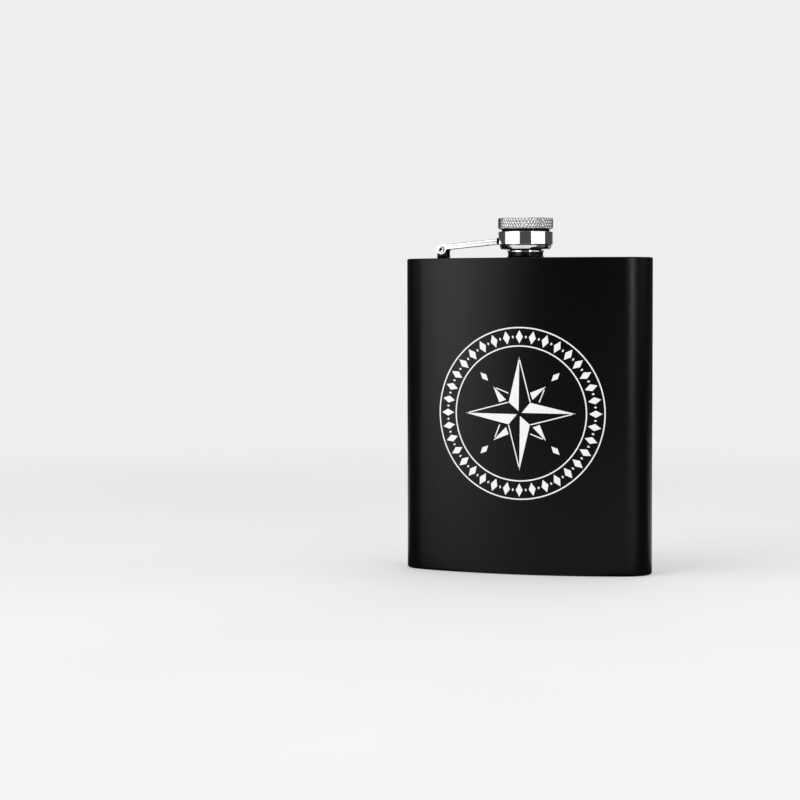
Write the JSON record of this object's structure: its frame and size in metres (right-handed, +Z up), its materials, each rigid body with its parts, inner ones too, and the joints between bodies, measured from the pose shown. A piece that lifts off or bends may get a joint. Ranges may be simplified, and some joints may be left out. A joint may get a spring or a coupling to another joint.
{
  "type": "hip flask",
  "caption": "Curved pocket flask in black coated steel with a captive knurled screw cap on a hinged arm beside a short threaded neck.",
  "frame": {"origin": "middle of the footprint, on the surface the flask stands on", "axes": "+Z up towards the cap; the convex front faces -Y and the hollow back faces +Y; the cap's hinge is on the -X side"},
  "size_m": [0.096, 0.0288, 0.1347],
  "materials": {
    "body_sleeve": "matte black powder coat over stainless steel",
    "top_plate": "matte black powder coat over stainless steel",
    "bottom_plate": "matte black powder coat over stainless steel",
    "neck": "turned stainless steel, uncoated",
    "hinge_lug": "matte black powder coat over stainless steel",
    "hinge_pin": "bright stainless steel, rolled ends",
    "cap_arm": "polished stainless steel",
    "swivel_collar": "mirror-polished stainless steel",
    "cap_shell": "diamond-knurled side and a turned top, stainless steel",
    "cap_sleeve": "polished stainless steel with a rolled lip",
    "cap_liner": "off-white moulded polypropylene",
    "cap_seal": "soft off-white silicone"
  },
  "bodies": {
    "flask": {"body_sleeve": "body_sleeve", "top_plate": "top_plate", "bottom_plate": "bottom_plate", "neck": "neck", "hinge_lug": "hinge_lug", "hinge_pin": "hinge_pin"},
    "arm": {"cap_arm": "cap_arm", "swivel_collar": "swivel_collar"},
    "cap": {"cap_shell": "cap_shell", "cap_sleeve": "cap_sleeve", "cap_liner": "cap_liner", "cap_seal": "cap_seal"}
  },
  "joints": [
    {"name": "arm_swing", "type": "hinge", "parent": "flask", "child": "arm", "pos_m": [-0.0324, -0.00279, 0.12305], "axis": [0, -1, 0], "range_deg": [0, 178]},
    {"name": "cap_spin", "type": "hinge", "parent": "arm", "child": "cap", "pos_m": [0, -0.00279, 0.1286], "axis": [0, 0, 1], "continuous": true}
  ]
}
